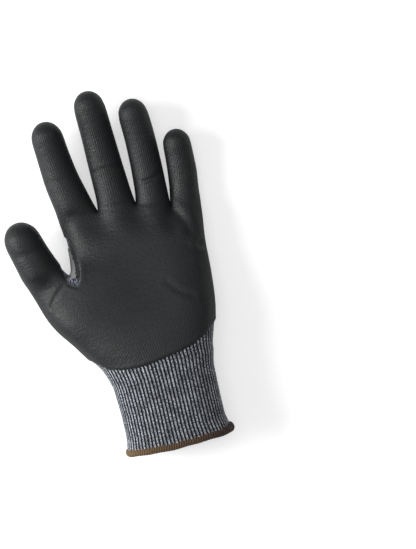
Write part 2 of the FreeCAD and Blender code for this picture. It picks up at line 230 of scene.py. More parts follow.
def nameAndApply(name):
    piece = bpy.context.object
    piece.name = name
    bpy.ops.object.transform_apply(location=True, rotation=True, scale=True)
    return piece


def turnFacesOut(piece):
    onlySelect(piece)
    bpy.ops.object.mode_set(mode="EDIT")
    bpy.ops.mesh.select_all(action="SELECT")
    bpy.ops.mesh.normals_make_consistent(inside=False)
    bpy.ops.object.mode_set(mode="OBJECT")


def layersOf(bm):
    whole = bm.verts.layers.int
    return whole["column"], whole["level"], bm.verts.layers.float["along"]


def waleOf(i, j, left, right, face):
    wales = knit["walesPerColumn"]
    if all(v[1] == 2 for v in face):
        return wales * i
    if all(v[1] == 0 for v in face):
        return wales * (left - 2 - (i - left))
    if all(v[0] == left for v in face):
        return wales * (left - (2 - j))
    return wales * (right + (2 - j))


def labelNewFaces(bm, left, right, part):
    (columnLayer, levelLayer, alongLayer), uvLayer = layersOf(bm), bm.loops.layers.uv["knitMap"]
    for face in bm.faces:
        if face.select or not any(v.select for v in face.verts):
            continue
        face.material_index = part
        grid = [(v[columnLayer], v[levelLayer]) for v in face.verts]
        for loop in face.loops:
            v = loop.vert
            wale = waleOf(v[columnLayer], v[levelLayer], left, right, grid)
            loop[uvLayer].uv = (wale, v[alongLayer] / knit["course"])


def labelCap(bm, part):
    (columnLayer, _, alongLayer), uvLayer = layersOf(bm), bm.loops.layers.uv["knitMap"]
    for face in bm.faces:
        if face.select:
            face.material_index = part
            for loop in face.loops:
                wale = knit["walesPerColumn"] * loop.vert[columnLayer]
                loop[uvLayer].uv = (wale, loop.vert[alongLayer] / knit["course"])


def extrudeTo(piece, spot, along, left, right, part):
    bpy.ops.mesh.extrude_region_move(TRANSFORM_OT_translate={"value": (0, 0.002, 0)})
    bm = bmesh.from_edit_mesh(piece.data)
    columnLayer, levelLayer, alongLayer = layersOf(bm)
    for v in bm.verts:
        if v.select:
            v.co = spot(v[columnLayer], v[levelLayer])
            v[alongLayer] = along
    labelNewFaces(bm, left, right, part)
    bmesh.update_edit_mesh(piece.data)


def selectEnd(piece, first, last, rowAlong):
    bm = bmesh.from_edit_mesh(piece.data)
    columnLayer, _, alongLayer = layersOf(bm)
    for face in bm.faces:
        face.select_set(False)
    for face in bm.faces:
        if all(first <= v[columnLayer] <= last and abs(v[alongLayer] - rowAlong) < knit["sameRow"]
               for v in face.verts):
            face.select_set(True)
    bm.select_flush_mode()
    bmesh.update_edit_mesh(piece.data)


def makeCage():
    bpy.ops.mesh.primitive_grid_add(x_subdivisions=cageGrid["columns"], y_subdivisions=cageGrid["levels"],
                                    size=cageGrid["size"], location=place(*cageGrid["at"]),
                                    rotation=(math.pi / 2, 0, 0))
    piece = nameAndApply("hand_cage")
    piece.data.materials.clear()
    for part in parts:
        piece.data.materials.append(bpy.data.materials.new("part_" + part))
    for layer in list(piece.data.uv_layers):
        piece.data.uv_layers.remove(layer)
    piece.data.uv_layers.new(name="knitMap")
    for name, kind in (("column", "INT"), ("level", "INT"), ("along", "FLOAT")):
        piece.data.attributes.new(name, kind, "POINT")
    bpy.ops.object.mode_set(mode="EDIT")
    bpy.ops.mesh.select_mode(type="FACE")
    bpy.ops.mesh.select_all(action="SELECT")
    bm = bmesh.from_edit_mesh(piece.data)
    xs = sorted({round(v.co.x, 6) for v in bm.verts})
    zs = sorted({round(v.co.z, 6) for v in bm.verts})
    columnLayer, levelLayer, alongLayer = layersOf(bm)
    for v in bm.verts:
        v[columnLayer] = xs.index(round(v.co.x, 6))
        v[levelLayer] = zs.index(round(v.co.z, 6))
        v[alongLayer] = hand["rows"][0]
        v.co = handPoint(v[columnLayer], v[levelLayer], hand["rows"][0])
    bmesh.update_edit_mesh(piece.data)
    lastColumn, crotchRow = cageGrid["columns"], hand["rows"][-1]
    for y in hand["rows"][1:]:
        extrudeTo(piece, lambda i, j: handPoint(i, j, y), y, 0, lastColumn, 0)
    growFinger(piece, "thumb", crotchRow)
    selectEnd(piece, 2, lastColumn, crotchRow)
    for share in hand["upperRows"]:
        along = crotchRow + share * (cageGrid["webRow"] - crotchRow)
        extrudeTo(piece, lambda i, j: handPoint(i, j, crotchRow + share), along, 2, lastColumn, 0)
    for name in ("index", "middle", "ring", "little"):
        growFinger(piece, name, cageGrid["webRow"])
    bm = bmesh.from_edit_mesh(piece.data)              # the first grid closes the wrist: open it
    alongLayer = layersOf(bm)[2]
    start = hand["rows"][0]
    for face in bm.faces:
        face.select_set(all(abs(v[alongLayer] - start) < knit["sameRow"] for v in face.verts))
    bmesh.update_edit_mesh(piece.data)
    bpy.ops.mesh.delete(type="FACE")
    bm = bmesh.from_edit_mesh(piece.data)
    for v in [v for v in bm.verts if not v.link_faces]:
        bm.verts.remove(v)
    bmesh.update_edit_mesh(piece.data)
    bpy.ops.object.mode_set(mode="OBJECT")
    turnFacesOut(piece)
    return piece


def growFinger(piece, name, rowAlong):
    finger = fingers[name]
    first = finger["column"]
    selectEnd(piece, first, first + 2, rowAlong)
    stations, tip = fingerStations(finger)
    base = parts.index(f"{name}_root")
    cuts = len(finger["radius"]) - 1
    along = rowAlong
    centre = stations[0][0]
    for k, station in enumerate(stations):
        along += stall["rootStep"] if k == 0 else (station[0] - centre).length
        centre = station[0]
        part = base + min(k // 2, cuts)
        if name == "thumb":
            part = base + (0 if k < 2 else 1)
        extrudeTo(piece, lambda i, j: ringPoint(station, i - first, j), along, first, first + 2, part)
    bm = bmesh.from_edit_mesh(piece.data)
    columnLayer, levelLayer, _ = layersOf(bm)
    for v in bm.verts:
        if v.select and v[columnLayer] == first + 1 and v[levelLayer] == 1:
            v.co = place(*tip)
    labelCap(bm, base + cuts)
    bmesh.update_edit_mesh(piece.data)


cage = makeCage()
print("cage made", len(cage.data.polygons), "faces")
onlySelect(cage)
smoothing = cage.modifiers.new("smooth", "SUBSURF")
smoothing.levels = smoothing.render_levels = cageGrid["subdivisions"]
bpy.ops.object.modifier_apply(modifier="smooth")
print("surface subdivided", len(cage.data.polygons), "faces")

# the coating's edge and the creases
dip = {
    "height": 10.0, "rise": 0.055, "from": 176.5,        # side line on the palm
    "side": 0.3,                                         # and on a finger, under its middle, in radii
    "thimble": 0.55, "thimbleFade": 0.25,                # share of the last length coated only on its pad
    "thimbleDrop": 60, "rootFade": 8,                    # past it the line drops below the finger
    "heel": [(-60, 82), (-50, 74.5), (-43, 70.5), (-33, 62.5), (-23, 60.3), (-13, 60), (-3, 61),
             (7, 62.5), (17, 64.2), (27, 67), (35, 71), (41, 76), (48, 82)],
    "crotch": [(-41.5, 157), (-38.3, 149), (-36.9, 141), (-36.7, 133), (-38.6, 125.5), (-41.2, 122),
               (-44.6, 124.5), (-47.8, 130.5), (-50.3, 138), (-49.5, 160)],      # a loop open to the gap
}
creases = [     # points (x, y), depth, half width
    ([(-12, 195.2), (-6, 196.0), (0, 195.2), (8, 196.6)], 0.5, 1.5),
    ([(-13, 191.2), (-4, 192.2), (3, 191.2)], 0.25, 1.1),
    ([(34, 187.5), (29.5, 184.2), (25, 181.8), (20, 181.4)], 0.6, 1.5),
    ([(33, 158.5), (37.5, 152.5), (40.5, 147.0), (41.5, 141)], 0.75, 3.0),
    ([(52.5, 128.5), (49, 128.6), (45, 131.0)], 0.9, 1.9),
    ([(18.5, 111.5), (23.0, 105.5), (27.5, 101.0), (32.5, 98.0)], 0.4, 2.0),
    ([(-49.0, 126.3), (-53, 123.0), (-57, 119.5), (-60, 115.8), (-61.5, 112.5)], 0.95, 1.1),
    ([(-34, 171), (-28, 168.5), (-20, 168.2)], 0.3, 2.2),
    ([(-12, 170), (-3, 168.5), (6, 169.5)], 0.3, 2.2),
    ([(13, 167.5), (21, 166.0), (30, 166.5)], 0.3, 2.2),
    ([(-43, 196), (-35, 194.8), (-26, 196.5)], 0.15, 2.0),
    ([(-80, 152.5), (-69, 151.0), (-57, 154)], 0.3, 2.4),
]
hollows = [     # centre (x, y), half sizes, depth: positive sinks into the palm
    ((2, 118), (22, 26), 2.4),
    ((-52, 96), (16, 20), -1.6),
    ((34, 92), (14, 24), -1.4),
    ((-32, 160), (9, 7), -0.8),
    ((-4, 160), (9, 7), -0.8),
    ((22, 157), (8, 7), -0.8),
    ((43, 151), (8, 8), -0.9),
]


def distanceTo(points, x, y):
    best = np.full(x.shape, 1e9)
    for (x0, y0), (x1, y1) in zip(points, points[1:]):
        dx, dy = x1 - x0, y1 - y0
        t = np.clip(((x - x0) * dx + (y - y0) * dy) / (dx * dx + dy * dy), 0, 1)
        best = np.minimum(best, np.hypot(x - x0 - t * dx, y - y0 - t * dy))
    return best


def coordinates(mesh, kind="co"):
    flat = np.empty(len(mesh.vertices) * 3)
    mesh.vertices.foreach_get(kind, flat)
    return flat.reshape(-1, 3)


def normalsOf(mesh):
    return coordinates(mesh, "normal")


def pushOut(mesh, distance):
    # each vertex moves along its normal, by one distance or by its own, in the pattern's units
    reach = np.asarray(distance) * pattern["mm"]
    moved = coordinates(mesh) + normalsOf(mesh) * reach[..., None]
    mesh.vertices.foreach_set("co", moved.ravel())
    mesh.update()


def patternOf(co):
    return co / pattern["mm"] - np.array(pattern["shift"])


def partOfVertices(mesh):
    label = np.zeros(len(mesh.vertices), int)
    for face in mesh.polygons:
        for v in face.vertices:
            label[v] = max(label[v], face.material_index)
    return label


def carveCreases(piece):
    mesh = piece.data
    spot = patternOf(coordinates(mesh))
    palmSide = smooth(normalsOf(mesh)[:, 2], 0.05, 0.5)
    lift = np.zeros(len(spot))
    for points, depth, width in creases:
        d = distanceTo(points, spot[:, 0], spot[:, 1]) / width
        lift += depth * (0.35 * np.exp(-(d - 2.0) ** 2) - np.exp(-d * d))
    for (x, y), (wide, long), depth in hollows:
        d = ((spot[:, 0] - x) / wide) ** 2 + ((spot[:, 1] - y) / long) ** 2
        lift -= depth * np.exp(-d)
    pushOut(mesh, lift * palmSide)


def coatLine(spot, label):
    # height of the coating's side edge at each point, by the part it belongs to
    palmLine = dip["height"] + (dip["from"] - spot[:, 1]) * dip["rise"]
    line = palmLine.copy()
    for name, finger in fingers.items():
        points = fingerPoints(finger)
        ids = [n for n, part in enumerate(parts) if part.startswith(name)]
        mine = np.isin(label, ids)
        xs = [p.y for p in points]
        middle = np.interp(spot[:, 1], xs, [p.z for p in points])
        radii = np.interp(spot[:, 1], xs, [*finger["radius"], finger["radius"][-1]])
        own = middle - dip["side"] * radii
        share = smooth(spot[:, 1], points[0].y - dip["rootFade"], points[0].y + dip["rootFade"])
        way = points[-1] - points[-2]
        along = (spot - np.array(points[-2])) @ np.array(way) / way.length_squared
        own = own - dip["thimbleDrop"] * smooth(along, dip["thimble"], dip["thimble"] + dip["thimbleFade"])
        line = np.where(mine, palmLine + (own - palmLine) * share, line)
    return line


def insideLoop(points, x, y):
    inside = np.zeros(x.shape, bool)
    for (x0, y0), (x1, y1) in zip(points, points[1:] + points[:1]):
        if y0 != y1:
            inside ^= ((y0 > y) != (y1 > y)) & (x < (x1 - x0) * (y - y0) / (y1 - y0) + x0)
    return inside


def coatField(spot, label):
    # positive where the foam lies
    side = spot[:, 2] - coatLine(spot, label)
    xs, ys = zip(*dip["heel"])
    heel = spot[:, 1] - np.interp(spot[:, 0], xs, ys)
    x, y = spot[:, 0], spot[:, 1]
    gap = distanceTo(dip["crotch"], x, y)
    gap = np.where(insideLoop(dip["crotch"], x, y), -gap, gap)
    return np.minimum(np.minimum(side, heel), gap)


def snapToEdge(mesh, field):
    # the nearest points move onto the line where the field is nought, so that it is a clean edge
    co = coordinates(mesh)
    best, target = np.full(len(co), 2.0), co.copy()
    for edge in mesh.edges:
        a, b = edge.vertices
        if field[a] * field[b] < 0:
            t = field[a] / (field[a] - field[b])
            for v, share in ((a, t), (b, 1 - t)):
                if share <= 0.5 and share < best[v]:
                    best[v] = share
                    target[v] = co[a] + (co[b] - co[a]) * t
    moved = best < 1.5
    mesh.vertices.foreach_set("co", target.ravel())
    mesh.update()
    field[moved] = 0
    return field


carveCreases(cage)
label = partOfVertices(cage.data)
field = coatField(patternOf(coordinates(cage.data)), label)
field = snapToEdge(cage.data, field)
print("creases carved, coating edge drawn")

# pieces cut from the surface
cuff = {
    "ribs": 76, "pointsPerRib": 6, "high": 0.8, "furrow": 5.0, "wall": 1.1,
    "start": 3.2, "backTop": 66.0, "palmTop": 85.0, "stations": 22,
    "fade": 5.0, "course": 1.3, "reach": 60, "levelsPerUnit": 4, "coatFrom": 62, "underCoat": 0.35,
    "ring": 0.035, "step": 0.003, "middle": 23, "flatTop": 0.75, "atHem": 0.35,
}
wall = {
    "knit": 1.2, "coat": 0.75, "patch": 0.7,
    "lip": 0.28, "lipReach": 2.2,                        # the foam thins towards its edge
    "bead": 0.22, "beadAt": 1.9, "beadWidth": 0.9,       # and stands in a bead beside it
    "spare": 0.25, "thinnest": 0.3,
    "tuck": 1.5,                                         # how far the liner sinks under the cuff
}
patch = {"centre": (-43, 137), "radius": 21.5, "gap": 3.1}


def cuffTop(z, back, front):
    share = smooth((z - back) / (front - back), 0.02, 0.3)
    return cuff["backTop"] + (cuff["palmTop"] - cuff["backTop"]) * share


def copyOf(piece, name):
    twin = piece.copy()
    twin.data = piece.data.copy()
    twin.name = name
    bpy.context.scene.collection.objects.link(twin)
    return twin


def keepFaces(piece, keep):
    onlySelect(piece)
    bpy.ops.object.mode_set(mode="EDIT")
    bpy.ops.mesh.select_mode(type="FACE")
    bm = bmesh.from_edit_mesh(piece.data)
    for face, stays in zip(bm.faces, keep):
        face.select_set(not stays)
    bmesh.update_edit_mesh(piece.data)
    bpy.ops.mesh.delete(type="FACE")
    bpy.ops.object.mode_set(mode="OBJECT")


def storeSurface(mesh, name, values):
    layer = mesh.attributes.get(name) or mesh.attributes.new(name, "FLOAT", "POINT")
    layer.data.foreach_set("value", np.asarray(values, np.float32))


def outerNormals(mesh):
    normals = normalsOf(mesh)
    for n, axis in enumerate("XYZ"):
        storeSurface(mesh, "outer" + axis, normals[:, n])


def splitByPart(piece, stem):
    onlySelect(piece)
    bpy.ops.object.mode_set(mode="EDIT")
    bpy.ops.mesh.select_all(action="SELECT")
    bpy.ops.mesh.separate(type="MATERIAL")
    bpy.ops.object.mode_set(mode="OBJECT")
    pieces = {}
    for found in list(bpy.context.selected_objects):
        if not found.data.polygons:
            bpy.data.objects.remove(found)
            continue
        part = found.material_slots[found.data.polygons[0].material_index].material.name[5:]
        found.name = f"{part}_{stem}"
        pieces[part] = found
    return pieces


def thicken(piece, thickness, groupName=None):
    onlySelect(piece)
    solid = piece.modifiers.new("wall", "SOLIDIFY")
    solid.thickness = thickness * pattern["mm"]
    solid.offset = -1
    solid.use_even_offset = False
    if groupName:
        solid.vertex_group = groupName
        solid.thickness_vertex_group = wall["thinnest"]
    outer = len(piece.data.vertices)
    bpy.ops.object.modifier_apply(modifier="wall")
    mesh = piece.data
    stored = np.zeros((len(mesh.vertices), 3), np.float32)
    for n, axis in enumerate("XYZ"):
        column = np.empty(len(mesh.vertices), np.float32)
        mesh.attributes["outer" + axis].data.foreach_get("value", column)
        stored[:, n] = column
    normals = np.zeros((len(mesh.loops), 3), np.float32)
    for face in mesh.polygons:
        face.use_smooth = True
        if all(v < outer for v in face.vertices):
            for loop in face.loop_indices:
                normals[loop] = stored[mesh.loops[loop].vertex_index]
    mesh.normals_split_custom_set(normals.tolist())
    for axis in "XYZ":
        mesh.attributes.remove(mesh.attributes["outer" + axis])


surface = cage.data
spots = patternOf(coordinates(surface))
faceField = np.array([sum(field[v] for v in f.vertices) for f in surface.polygons])
coated = faceField > 0
coat = copyOf(cage, "coat")
keepFaces(coat, coated)
coatSpots = patternOf(coordinates(coat.data))
onEdge = np.zeros(len(coatSpots), bool)
edgeUse = {}
for face in coat.data.polygons:
    for key in face.edge_keys:
        edgeUse[key] = edgeUse.get(key, 0) + 1
for (a, b), uses in edgeUse.items():
    if uses == 1:
        onEdge[a] = onEdge[b] = True
rim = coatSpots[onEdge]
nearest = np.array([np.sqrt(((rim - p) ** 2).sum(1).min()) for p in coatSpots])
rounding = np.sin(np.clip(nearest / wall["lipReach"], 0, 1) * math.pi / 2)
grow = wall["lip"] + (wall["coat"] - wall["lip"]) * rounding
grow += wall["bead"] * np.exp(-((nearest - wall["beadAt"]) / wall["beadWidth"]) ** 2)
thick = coat.vertex_groups.new(name="thick")
for v, g in enumerate(grow):
    thick.add([v], float(g / (wall["coat"] + wall["spare"])), "REPLACE")
pushOut(coat.data, grow)
outerNormals(coat.data)
storeSurface(coat.data, "edgeDistance", nearest)
coatPieces = splitByPart(coat, "coat")
for piece in coatPieces.values():
    thicken(piece, wall["coat"] + wall["spare"], "thick")
print("coating cut into", len(coatPieces), "pieces")

cover = copyOf(cage, "crotch_patch")
centres = np.array([spots[list(f.vertices)].mean(0) for f in surface.polygons])
faceGap = np.array([-np.mean([field[v] for v in f.vertices]) for f in surface.polygons])
away = np.hypot(centres[:, 0] - patch["centre"][0], centres[:, 1] - patch["centre"][1])
partIds = np.array([f.material_index for f in surface.polygons])
keepFaces(cover, (away < patch["radius"]) & (faceGap > patch["gap"])
          & np.isin(partIds, [0, parts.index("thumb_root")]))
pushOut(cover.data, wall["patch"])
outerNormals(cover.data)
patchPieces = splitByPart(cover, "patch")
for piece in patchPieces.values():
    thicken(piece, wall["patch"])
print("patch cut into", len(patchPieces), "pieces")

spots = patternOf(coordinates(cage.data))
tops = [cuffTop(z, *section(y)[3:]) for _, y, z in spots]
under = [1 - smooth(y, top - 2.0, top + 1.0) for (_, y, _), top in zip(spots, tops)]
pushOut(cage.data, -np.array(under) * wall["tuck"])
outerNormals(cage.data)
knitPieces = splitByPart(cage, "liner")
for piece in knitPieces.values():
    thicken(piece, wall["knit"])
print("liner cut into", len(knitPieces), "pieces")

# the ribbed cuff
def sectionLoop(y, count, inward):
    # points spaced evenly round the wrist's section, from the back's middle towards +x
    left, _, right, back, front = section(y)
    half, high = (right - left) / 2 - inward, (front - back) / 2 - inward
    turn = np.linspace(0, 2 * math.pi, 721)
    power = 2 / 2.5
    x = np.sign(np.sin(turn)) * np.abs(np.sin(turn)) ** power * half + (left + right) / 2
    z = -np.sign(np.cos(turn)) * np.abs(np.cos(turn)) ** power * high + (back + front) / 2
    length = np.concatenate([[0], np.cumsum(np.hypot(np.diff(x), np.diff(z)))])
    spots = np.linspace(0, length[-1], count, endpoint=False)
    x, z = np.interp(spots, length, x), np.interp(spots, length, z)
    dx, dz = np.roll(x, -1) - np.roll(x, 1), np.roll(z, -1) - np.roll(z, 1)
    size = np.hypot(dx, dz)
    return x, z, dz / size, -dx / size


def columnsRound(co, centre, count):
    turn = np.arctan2(co[:, 0] - centre[0], -(co[:, 2] - centre[2])) % (2 * math.pi)
    return np.round(turn / (2 * math.pi) * count).astype(int) % count


def drawMap(mesh, layer, across, turns, along):
    # faces over either seam of the map read on past its end
    for face in mesh.polygons:
        us, vs = [across[v] for v in face.vertices], [along[v] for v in face.vertices]
        for loop, u, v in zip(face.loop_indices, us, vs):
            u += turns if max(us) - min(us) > 2 and u < 2 else 0
            v += 1 if max(vs) - min(vs) > 0.5 and v < 0 else 0
            layer.data[loop].uv = (u, v)


def makeCuff():
    count = cuff["ribs"] * cuff["pointsPerRib"]
    bpy.ops.mesh.primitive_circle_add(vertices=count, radius=cuff["ring"], fill_type="NOTHING",
                                      location=place(0, cuff["start"], cuff["middle"]),
                                      rotation=(math.pi / 2, 0, 0))
    piece = nameAndApply("ribbed_cuff_knit")
    bpy.ops.object.mode_set(mode="EDIT")
    bpy.ops.mesh.select_mode(type="EDGE")
    bpy.ops.mesh.select_all(action="SELECT")
    for _ in range(cuff["stations"]):
        bpy.ops.mesh.extrude_edges_move(TRANSFORM_OT_translate={"value": (0, cuff["step"], 0)})
    bpy.ops.object.mode_set(mode="OBJECT")
    mesh = piece.data
    co = coordinates(mesh)
    ring = np.round((co[:, 1] - co[:, 1].min()) / cuff["step"]).astype(int)
    column = columnsRound(co, co[ring == 0].mean(0), count)
    new = np.zeros_like(co)
    wale, along = np.zeros(len(co)), np.zeros(len(co))
    levels = {}
    for n in range(cuff["stations"] + 1):
        share = n / cuff["stations"]
        near = cuff["start"] + share * cuff["reach"]
        top = cuffTop(sectionLoop(near, count, 0)[1], *section(near)[3:])
        for v in np.flatnonzero(ring == n):
            k = column[v]
            y = cuff["start"] + share * (top[k] - cuff["start"])
            level = round(y * cuff["levelsPerUnit"]) / cuff["levelsPerUnit"]
            if level not in levels:
                inward = cuff["underCoat"] if level > cuff["coatFrom"] else 0.0
                levels[level] = sectionLoop(level, count, inward)
            x, z, nx, nz = levels[level]
            rib = k / cuff["pointsPerRib"]
            wave = 1 - 2 * abs(math.cos(math.pi * rib)) ** cuff["furrow"]
            flat = cuff["flatTop"] * float(smooth(y, top[k] - cuff["fade"], top[k]))
            rise = float(smooth(y, cuff["start"] - 1, cuff["start"] + 6))
            strength = cuff["high"] / 2 * (1 - flat)
            strength *= cuff["atHem"] + (1 - cuff["atHem"]) * rise
            out = wave * strength - cuff["high"] / 2
            new[v] = place(x[k] + nx[k] * out, y, z[k] + nz[k] * out)
            wale[v], along[v] = rib, y / cuff["course"]
    mesh.vertices.foreach_set("co", new.ravel())
    layer = mesh.uv_layers[0] if mesh.uv_layers else mesh.uv_layers.new()
    layer.name = "knitMap"
    drawMap(mesh, layer, wale, cuff["ribs"], along)
    turnFacesOut(piece)
    first = mesh.polygons[0]
    if first.normal.dot(first.center - Vector((0, first.center.y, place(0, 0, cuff["middle"]).z))) < 0:
        mesh.flip_normals()
    outerNormals(mesh)
    thicken(piece, cuff["wall"])
    return piece


cuffPiece = makeCuff()
print("cuff ribbed", len(cuffPiece.data.polygons), "faces")

# the overlocked hem
hem = {"y": 3.5, "radius": 2.3, "inward": 1.0, "stitches": 112, "perStitch": 5, "round": 14,
       "swell": 0.17, "sideLift": 1.4, "teeth": 0.3, "bulge": 0.3, "halfWidth": 35.0, "bulgeAt": 36.0,
       "slant": 0.8, "tube": 0.002}


def makeHem():
    count = hem["stitches"] * hem["perStitch"]
    bpy.ops.mesh.primitive_torus_add(major_segments=count, minor_segments=hem["round"],
                                     major_radius=cuff["ring"], minor_radius=hem["tube"],
                                     location=place(0, hem["y"], cuff["middle"]),
                                     rotation=(math.pi / 2, 0, 0), generate_uvs=False)
    piece = nameAndApply("overlocked_hem")
    mesh = piece.data
    co = coordinates(mesh)
    centre = co.mean(0)
    k = columnsRound(co, centre, count)
    out = np.hypot(co[:, 0] - centre[0], co[:, 2] - centre[2]) - cuff["ring"]
    angle = np.arctan2(co[:, 1] - centre[1], out)
    x, z, nx, nz = sectionLoop(hem["y"], count, hem["inward"])
    thread = np.abs(np.sin(math.pi * (k / hem["perStitch"] + angle / math.pi * hem["slant"])))
    size = hem["radius"] * (1 - hem["swell"] + hem["swell"] * thread ** 0.7)
    size *= 1 + hem["bulge"] * np.clip(x[k] / hem["bulgeAt"], 0, 1) ** 6
    side = (np.abs(x[k]) / hem["halfWidth"]) ** 3 * hem["sideLift"]
    wander = 0.22 * np.sin(k / count * 2 * math.pi * 5 + 1.0) + 0.15 * np.sin(k / count * 2 * math.pi * 11)
    teeth = np.where(angle > 0, 0.9 + hem["teeth"] * thread, 1.0)
    new = np.stack([x[k] + nx[k] * np.cos(angle) * size,
                    hem["y"] + side + wander + np.sin(angle) * size * teeth,
                    z[k] + nz[k] * np.cos(angle) * size], 1)
    mesh.vertices.foreach_set("co", np.array([place(*p) for p in new]).ravel())
    layer = mesh.uv_layers.new(name="knitMap")
    drawMap(mesh, layer, k / hem["perStitch"], hem["stitches"], angle / (2 * math.pi))
    turnFacesOut(piece)
    bpy.ops.object.shade_smooth()
    return piece


hemPiece = makeHem()
print("hem stitched", len(hemPiece.data.polygons), "faces")

# shader groups
def addNode(tree, kind, **settings):
    made = tree.nodes.new(kind)
    for key, value in settings.items():
        setattr(made, key, value)
    return made


def feed(tree, node, sockets):
    # what goes into each socket: a plain value, or the output of another node
    for label, value in sockets.items():
        if isinstance(value, bpy.types.NodeSocket):
            tree.links.new(value, node.inputs[label])
        else:
            node.inputs[label].default_value = value
    return node


def calc(tree, operation, *values):
    made = addNode(tree, "ShaderNodeMath", operation=operation)
    return feed(tree, made, dict(enumerate(values))).outputs[0]


def plus(tree, first, second):
    return calc(tree, "ADD", first, second)


def times(tree, first, second):
    return calc(tree, "MULTIPLY", first, second)


def newGroup(name, inputs, outputs):
    group = bpy.data.node_groups.new(name, "ShaderNodeTree")
    for kind, label, value in inputs:
        made = group.interface.new_socket(name=label, in_out="INPUT", socket_type=kind)
        if value is not None:
            made.default_value = value
    for kind, label in outputs:
        group.interface.new_socket(name=label, in_out="OUTPUT", socket_type=kind)
    return group, addNode(group, "NodeGroupInput"), addNode(group, "NodeGroupOutput")


def ramp(tree, value, stops):
    made = feed(tree, addNode(tree, "ShaderNodeValToRGB"), {0: value})
    while len(made.color_ramp.elements) < len(stops):
        made.color_ramp.elements.new(0.5)
    for element, (position, colour) in zip(made.color_ramp.elements, stops):
        element.position = position
        element.color = (*colour, 1)
    return made.outputs[0]


def noise(tree, vector, scale, detail, rough):
    sockets = {"Vector": vector, "Scale": scale, "Detail": detail, "Roughness": rough}
    return feed(tree, addNode(tree, "ShaderNodeTexNoise"), sockets).outputs[0]


def scaled(tree, vector, scale):
    made = addNode(tree, "ShaderNodeMapping", vector_type="POINT")
    return feed(tree, made, {"Vector": vector, "Scale": scale}).outputs[0]


def split(tree, vector):
    return feed(tree, addNode(tree, "ShaderNodeSeparateXYZ"), {0: vector}).outputs


def mixed(tree, factor, first, second, **settings):
    made = addNode(tree, "ShaderNodeMix", data_type="RGBA", **settings)
    return feed(tree, made, {"Factor": factor, "A": first, "B": second}).outputs["Result"]


def mapRange(tree, value, fromLow, fromHigh, toLow=0.0, toHigh=1.0, **settings):
    sockets = {"Value": value, "From Min": fromLow, "From Max": fromHigh, "To Min": toLow, "To Max": toHigh}
    return feed(tree, addNode(tree, "ShaderNodeMapRange", **settings), sockets).outputs[0]


def makeStitchGroup():
    # jersey stitches: two slanting legs to each wale, one pair to each course
    group, start, end = newGroup("jerseyStitches", [("NodeSocketVector", "Map", None),
                                                    ("NodeSocketFloat", "Slant", 0.85)],
                                 [("NodeSocketFloat", "Height"), ("NodeSocketFloat", "Leg")])
    wale, course, _ = split(group, start.outputs["Map"])
    offset = calc(group, "SUBTRACT", calc(group, "FRACT", wale), 0.5)
    across = times(group, calc(group, "ABSOLUTE", offset), 2.0)
    lean = times(group, across, start.outputs["Slant"])
    phase = calc(group, "FRACT", plus(group, course, lean))

    def bow(value):
        doubled = times(group, value, 2.0)
        return calc(group, "POWER", calc(group, "SUBTRACT", doubled, 1.0), 2.0)

    leg = calc(group, "SUBTRACT", 1.0, bow(across))
    loop = calc(group, "SUBTRACT", 1.0, times(group, bow(phase), 0.6))
    feed(group, end, {"Height": times(group, leg, loop), "Leg": leg})
    return group


def makeHeatherGroup():
    # yarns of three colours spun together: short flecks along the thread
    group, start, end = newGroup(
        "heatherYarn",
        [("NodeSocketVector", "Map", None), ("NodeSocketFloat", "Dark Share", 0.42),
         ("NodeSocketColor", "Dark", (0.012, 0.014, 0.022, 1)),
         ("NodeSocketColor", "Middle", (0.10, 0.11, 0.15, 1)),
         ("NodeSocketColor", "Light", (0.48, 0.50, 0.56, 1))],
        [("NodeSocketColor", "Color"), ("NodeSocketFloat", "Tone")])
    fine = noise(group, scaled(group, start.outputs["Map"], (2.3, 0.8, 1.0)), 1.0, 3.0, 0.62)
    broad = noise(group, scaled(group, start.outputs["Map"], (0.31, 0.12, 1.0)), 1.0, 2.0, 0.5)
    spun = plus(group, times(group, fine, 0.8), times(group, broad, 0.2))
    tone = plus(group, spun, calc(group, "SUBTRACT", 0.42, start.outputs["Dark Share"]))
    pastDark = ramp(group, tone, [(0.40, (0, 0, 0)), (0.50, (1, 1, 1))])
    pastMiddle = ramp(group, tone, [(0.48, (0, 0, 0)), (0.60, (1, 1, 1))])
    low = mixed(group, pastDark, start.outputs["Dark"], start.outputs["Middle"])
    high = mixed(group, pastMiddle, low, start.outputs["Light"])
    feed(group, end, {"Color": high, "Tone": tone})
    return group


def makeFoamGroup():
    # foamed nitrile: fine open pores, a soft mottle and faint crow's feet
    group, start, end = newGroup("foamSkin", [("NodeSocketVector", "Place", None),
                                              ("NodeSocketFloat", "Pore", 1500.0)],
                                 [("NodeSocketFloat", "Height"), ("NodeSocketFloat", "Mottle")])
    pores = addNode(group, "ShaderNodeTexVoronoi", feature="SMOOTH_F1")
    feed(group, pores, {"Smoothness": 0.6, "Vector": start.outputs["Place"], "Scale": start.outputs["Pore"]})
    grain = noise(group, start.outputs["Place"], 620.0, 4.0, 0.6)
    folds = noise(group, scaled(group, start.outputs["Place"], (1.0, 3.2, 1.0)), 95.0, 3.0, 0.6)
    height = plus(group, times(group, pores.outputs["Distance"], 0.35),
                  plus(group, times(group, grain, 0.7), times(group, folds, 0.75)))
    feed(group, end, {"Height": height, "Mottle": noise(group, start.outputs["Place"], 28.0, 3.0, 0.55)})
    return group


stitchGroup, heatherGroup, foamGroup = makeStitchGroup(), makeHeatherGroup(), makeFoamGroup()


def groupNode(tree, group, **sockets):
    made = addNode(tree, "ShaderNodeGroup", node_tree=group)
    return feed(tree, made, {label.replace("_", " "): value for label, value in sockets.items()})


